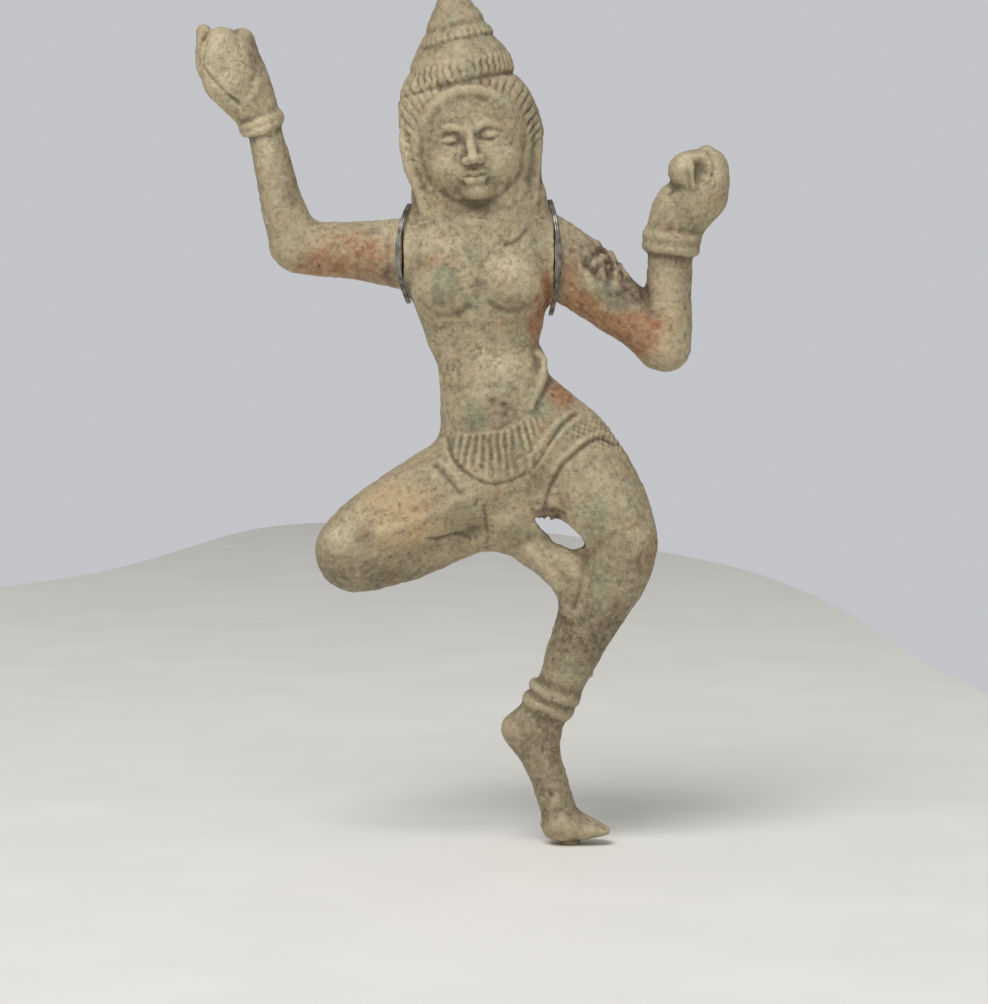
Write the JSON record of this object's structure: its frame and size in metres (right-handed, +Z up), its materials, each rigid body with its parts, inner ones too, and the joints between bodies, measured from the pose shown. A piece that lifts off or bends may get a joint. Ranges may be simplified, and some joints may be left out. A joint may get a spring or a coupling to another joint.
{
  "type": "cast dancing figure statue",
  "caption": "Cast bronze dancing figure on one tiptoe, with separate arms on tenons held by twisted binding wire.",
  "frame": {"origin": "centre of the flat sole of the stub under the ball of the standing foot", "axes": "+Z up, the figure faces -Y, +X towards the figure's own left arm"},
  "size_m": [0.1453, 0.038, 0.2396],
  "materials": {
    "patinated_bronze": "earthy olive-brown patina with green and red patches, matt",
    "fired_clay": "baked casting core, matt",
    "iron": "forged and rusted",
    "binding_wire": "dark grey, dull, with a bright glint at a bend"
  },
  "bodies": {
    "figure": {"body_casting": "patinated_bronze", "clay_core": "fired_clay", "armature_rod": "iron", "core_pins": "iron", "right_shoulder_wire": "binding_wire", "left_shoulder_wire": "binding_wire"},
    "right_arm": {"right_arm": "patinated_bronze"},
    "left_arm": {"left_arm": "patinated_bronze"}
  },
  "joints": [
    {"name": "right_arm_rock", "type": "hinge", "parent": "figure", "child": "right_arm", "pos_m": [-0.046, 0.002, 0.1634], "axis": [1, 0, 0], "range_deg": [-6, 6]},
    {"name": "left_arm_rock", "type": "hinge", "parent": "figure", "child": "left_arm", "pos_m": [-0.0049, 0.002, 0.1623], "axis": [1, 0, 0], "range_deg": [-6, 6]}
  ]
}
